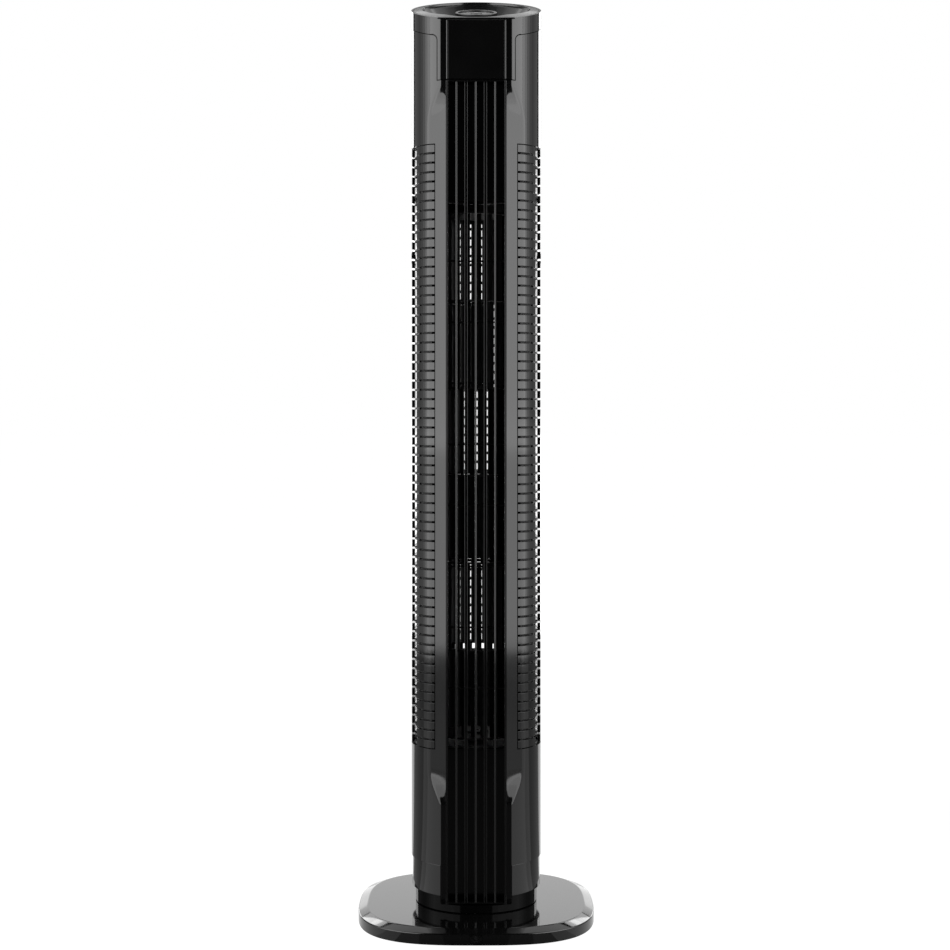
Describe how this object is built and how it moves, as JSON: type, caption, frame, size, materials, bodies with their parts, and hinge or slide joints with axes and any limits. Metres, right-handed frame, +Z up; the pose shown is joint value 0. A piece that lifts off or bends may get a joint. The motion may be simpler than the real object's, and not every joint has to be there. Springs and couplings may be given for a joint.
{
  "type": "tower fan",
  "caption": "Slim upright fan: a slotted column with a tall outlet channel and a cross-flow impeller swings on a flat rounded-square base, under a slanted head with push buttons.",
  "frame": {"origin": "on the floor under the base's centre, on the axis that the column swings about", "axes": "+Z up along the column, -Y towards the front, where the air comes out, +X to the right of someone who faces the fan"},
  "size_m": [0.2712, 0.2731, 1.0804],
  "materials": {
    "gloss_black": "high gloss",
    "satin_black": "satin",
    "matt_black": "fine grained",
    "grey_plastic": "fine grained",
    "white_plastic": "smooth acetal",
    "black_rubber": "matt",
    "circuit_board": "solder mask",
    "steel": "zinc plated",
    "dark_steel": "laminated and oiled"
  },
  "bodies": {
    "base": {"base_shell": "gloss_black", "base_bottom_cover": "matt_black", "ballast_plate": "dark_steel", "foot_rear_right": "black_rubber", "foot_rear_left": "black_rubber", "foot_front_left": "black_rubber", "foot_front_right": "black_rubber", "cord_gland": "black_rubber", "pivot_post": "grey_plastic", "clamp_ring": "steel", "base_screw_1": "steel", "base_screw_2": "steel", "base_screw_3": "steel", "slide_ring": "white_plastic", "pivot_nut": "grey_plastic", "swing_gear_sector": "white_plastic"},
    "column": {"turntable": "gloss_black", "swing_motor": "steel", "bottom_collar": "gloss_black", "front_housing": "gloss_black", "rear_housing": "gloss_black", "housing_screw_1": "steel", "housing_screw_2": "steel", "housing_screw_3": "steel", "housing_screw_4": "steel", "outlet_grille": "gloss_black", "duct_floor": "matt_black", "duct_ceiling": "matt_black", "motor_bracket": "grey_plastic", "volute_guide": "matt_black", "tongue_guide": "matt_black", "motor_can_lower": "steel", "motor_can_upper": "steel", "motor_stator": "dark_steel", "motor_mount_1": "black_rubber", "motor_mount_2": "black_rubber", "motor_mount_3": "black_rubber", "run_capacitor": "white_plastic", "main_board": "circuit_board", "top_bearing": "black_rubber", "head_shell": "gloss_black", "front_panel": "gloss_black", "control_bowl": "satin_black", "control_pad": "satin_black", "control_board": "circuit_board"},
    "impeller": {"motor_rotor": "steel", "impeller_hub": "black_rubber", "impeller_segment_1": "satin_black", "impeller_segment_2": "satin_black", "impeller_segment_3": "satin_black", "impeller_segment_4": "satin_black", "impeller_segment_5": "satin_black", "impeller_segment_6": "satin_black", "impeller_top_disc": "satin_black"},
    "pinion": {"swing_pinion": "white_plastic"},
    "power": {"button_power": "gloss_black"},
    "speed": {"button_speed": "satin_black"},
    "timer": {"button_timer": "satin_black"},
    "mode": {"button_mode": "satin_black"},
    "swing_key": {"button_swing": "satin_black"}
  },
  "joints": [
    {"name": "column_swing", "type": "hinge", "parent": "base", "child": "column", "pos_m": [0, 0, 0.0192], "axis": [0, 0, 1], "range_deg": [-40, 40]},
    {"name": "impeller_spin", "type": "hinge", "parent": "column", "child": "impeller", "pos_m": [0, 0.006, 0.5], "axis": [0, 0, 1], "continuous": true},
    {"name": "pinion_spin", "type": "hinge", "parent": "column", "child": "pinion", "pos_m": [0, 0.04, 0.032], "axis": [0, 0, 1], "range_deg": [-125, 125]},
    {"name": "power_press", "type": "slide", "parent": "column", "child": "power", "axis": [0, -0.3173, 0.9483], "range_m": [-0.001, 0], "stiffness_N_per_m": 900, "springref_m": 0.0006},
    {"name": "speed_press", "type": "slide", "parent": "column", "child": "speed", "axis": [0, -0.3173, 0.9483], "range_m": [-0.001, 0], "stiffness_N_per_m": 900, "springref_m": 0.0006},
    {"name": "timer_press", "type": "slide", "parent": "column", "child": "timer", "axis": [0, -0.3173, 0.9483], "range_m": [-0.001, 0], "stiffness_N_per_m": 900, "springref_m": 0.0006},
    {"name": "mode_press", "type": "slide", "parent": "column", "child": "mode", "axis": [0, -0.3173, 0.9483], "range_m": [-0.001, 0], "stiffness_N_per_m": 900, "springref_m": 0.0006},
    {"name": "swing_key_press", "type": "slide", "parent": "column", "child": "swing_key", "axis": [0, -0.3173, 0.9483], "range_m": [-0.001, 0], "stiffness_N_per_m": 900, "springref_m": 0.0006}
  ],
  "couplings": [
    {"joint": "pinion_spin", "follows": "column_swing", "ratio": 3}
  ]
}
